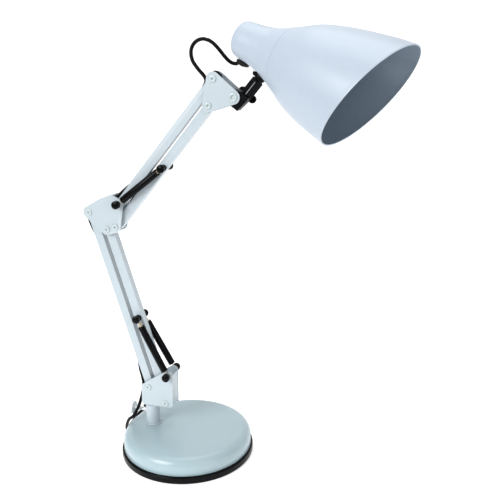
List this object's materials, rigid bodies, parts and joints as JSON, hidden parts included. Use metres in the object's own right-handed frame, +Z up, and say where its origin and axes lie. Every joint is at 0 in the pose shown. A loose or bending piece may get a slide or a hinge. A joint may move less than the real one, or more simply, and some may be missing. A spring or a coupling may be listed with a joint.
{
  "type": "swing arm desk lamp",
  "caption": "Swing arm desk lamp: round weighted base, two jointed parallel-bar arms with sleeved springs, and a bell shade on a swivelling stem.",
  "frame": {"origin": "centre of the base's underside, on the surface it stands on", "axes": "+Z up; +X in the arms' plane, towards the shade; +Y to the rear, away from the clamp screw's far side"},
  "size_m": [0.3984, 0.2185, 0.5339],
  "materials": {
    "painted_white": "satin white paint",
    "gloss_white": "glossy white plastic",
    "white_plastic": "satin white plastic",
    "black_plastic": "satin black plastic",
    "rubber": "matte black rubber",
    "steel": "zinc plated steel",
    "brass": "plain brass",
    "cast_iron": "rough cast"
  },
  "bodies": {
    "stand": {"base_ring": "black_plastic", "base_cover": "painted_white", "base_weight": "cast_iron", "base_pad": "rubber", "post_stud": "steel", "post_tube": "painted_white", "cord_tail": "black_plastic", "cord_coil": "black_plastic", "plug": "black_plastic"},
    "thumbscrew": {"thumbscrew": "gloss_white"},
    "pivot_bracket": {"lower_bracket": "painted_white", "bracket_spindle": "steel", "rivet_post_left": "painted_white", "rivet_post_right": "painted_white", "lower_near_cap_front": "rubber", "lower_near_cap_rear": "rubber", "cord_at_post_pivot": "black_plastic"},
    "lower_bar_left": {"lower_bar_left": "painted_white"},
    "lower_bar_right": {"lower_bar_right": "painted_white", "lower_far_cap_front": "rubber", "lower_far_cap_rear": "rubber"},
    "elbow": {"elbow_bracket": "painted_white", "elbow_peg_pin": "steel", "rivet_elbow_left": "painted_white", "rivet_elbow_mid": "painted_white", "rivet_elbow_right": "painted_white", "upper_near_cap_front": "rubber", "upper_near_cap_rear": "rubber", "cord_lower_arm": "black_plastic"},
    "upper_bar_left": {"upper_bar_left": "painted_white", "cord_upper_arm": "black_plastic"},
    "upper_bar_right": {"upper_bar_right": "painted_white", "upper_far_cap_front": "rubber", "upper_far_cap_rear": "rubber"},
    "head_bracket": {"head_plate_front": "painted_white", "head_plate_rear": "painted_white", "rivet_head_left": "painted_white", "rivet_head_right": "painted_white", "rivet_head_tilt": "painted_white", "cord_at_head_pivot": "black_plastic"},
    "tilt_block": {"tilt_block": "black_plastic", "cord_head_loop": "black_plastic"},
    "clamp_screw": {"clamp_screw": "black_plastic"},
    "head": {"stem": "black_plastic", "saddle_screw": "black_plastic", "neck_housing": "painted_white", "shade_bell": "painted_white", "cable_gland": "rubber", "lamp_holder": "white_plastic", "centre_contact": "brass", "cord_to_shade": "black_plastic"},
    "lower_sleeves": {"lower_sleeve_front": "rubber", "lower_sleeve_rear": "rubber"},
    "lower_springs": {"lower_spring_front": "steel", "lower_spring_rear": "steel"},
    "upper_sleeves": {"upper_sleeve_front": "rubber", "upper_sleeve_rear": "rubber"},
    "upper_springs": {"upper_spring_front": "steel", "upper_spring_rear": "steel"}
  },
  "joints": [
    {"name": "post_swivel", "type": "hinge", "parent": "stand", "child": "pivot_bracket", "pos_m": [-0.048, 0, 0.0595], "axis": [0, 0, 1], "range_deg": [-90, 90], "deforming": ["cord_tail"]},
    {"name": "thumbscrew_turn", "type": "hinge", "parent": "stand", "child": "thumbscrew", "pos_m": [-0.07, 0, 0.0476], "axis": [1, 0, 0], "range_deg": [-20, 360]},
    {"name": "lower_arm_tilt", "type": "hinge", "parent": "pivot_bracket", "child": "lower_bar_left", "pos_m": [-0.04857, 0, 0.08516], "axis": [0, 1, 0], "range_deg": [-9, 20.5], "deforming": ["cord_at_post_pivot"]},
    {"name": "lower_bar_right_tilt", "type": "hinge", "parent": "pivot_bracket", "child": "lower_bar_right", "pos_m": [-0.02537, 0, 0.06486], "axis": [0, 1, 0], "range_deg": [-9, 20.5]},
    {"name": "elbow_level", "type": "hinge", "parent": "lower_bar_left", "child": "elbow", "pos_m": [-0.11655, 0, 0.31246], "axis": [0, 1, 0], "range_deg": [-20.5, 9], "deforming": ["cord_lower_arm"]},
    {"name": "upper_arm_tilt", "type": "hinge", "parent": "elbow", "child": "upper_bar_left", "pos_m": [-0.07538, 0, 0.32534], "axis": [0, 1, 0], "range_deg": [-6, 50], "deforming": ["cord_upper_arm"]},
    {"name": "upper_bar_right_tilt", "type": "hinge", "parent": "elbow", "child": "upper_bar_right", "pos_m": [-0.0816, 0, 0.2957], "axis": [0, 1, 0], "range_deg": [-6, 50]},
    {"name": "head_level", "type": "hinge", "parent": "upper_bar_left", "child": "head_bracket", "pos_m": [0.04872, 0, 0.47346], "axis": [0, 1, 0], "range_deg": [-50, 6], "deforming": ["cord_at_head_pivot"]},
    {"name": "shade_tilt", "type": "hinge", "parent": "head_bracket", "child": "tilt_block", "pos_m": [0.07202, 0, 0.45348], "axis": [0, 1, 0], "range_deg": [-25, 60], "deforming": ["cord_head_loop"]},
    {"name": "clamp_turn", "type": "hinge", "parent": "tilt_block", "child": "clamp_screw", "pos_m": [0.08339, 0, 0.45382], "axis": [0, 1, 0], "range_deg": [-20, 360]},
    {"name": "shade_swivel", "type": "hinge", "parent": "tilt_block", "child": "head", "pos_m": [0.07848, 0, 0.44801], "axis": [0.646, 0, 0.7633], "range_deg": [-46, 74], "deforming": ["cord_to_shade"]},
    {"name": "lower_sleeves_swing", "type": "hinge", "parent": "pivot_bracket", "child": "lower_sleeves", "pos_m": [-0.01994, 0, 0.10511], "axis": [0, 1, 0], "range_deg": [-14, 31]},
    {"name": "lower_springs_swing", "type": "hinge", "parent": "lower_bar_right", "child": "lower_springs", "pos_m": [-0.05918, 0, 0.17791], "axis": [0, 1, 0], "range_deg": [-6, 11], "deforming": ["lower_spring_front", "lower_spring_rear"]},
    {"name": "upper_sleeves_swing", "type": "hinge", "parent": "elbow", "child": "upper_sleeves", "pos_m": [-0.07538, 0, 0.32534], "axis": [0, 1, 0], "range_deg": [-8, 59]},
    {"name": "upper_springs_swing", "type": "hinge", "parent": "upper_bar_right", "child": "upper_springs", "pos_m": [-0.01687, 0, 0.37062], "axis": [0, 1, 0], "range_deg": [-2, 9], "deforming": ["upper_spring_front", "upper_spring_rear"]}
  ],
  "couplings": [
    {"joint": "lower_bar_right_tilt", "follows": "lower_arm_tilt", "ratio": 1},
    {"joint": "elbow_level", "follows": "lower_arm_tilt", "ratio": -1},
    {"joint": "lower_sleeves_swing", "follows": "lower_arm_tilt", "ratio": 1.44},
    {"joint": "lower_springs_swing", "follows": "lower_arm_tilt", "ratio": 0.44},
    {"joint": "upper_bar_right_tilt", "follows": "upper_arm_tilt", "ratio": 1},
    {"joint": "head_level", "follows": "upper_arm_tilt", "ratio": -1},
    {"joint": "upper_sleeves_swing", "follows": "upper_arm_tilt", "ratio": 1.15},
    {"joint": "upper_springs_swing", "follows": "upper_arm_tilt", "ratio": 0.15}
  ]
}
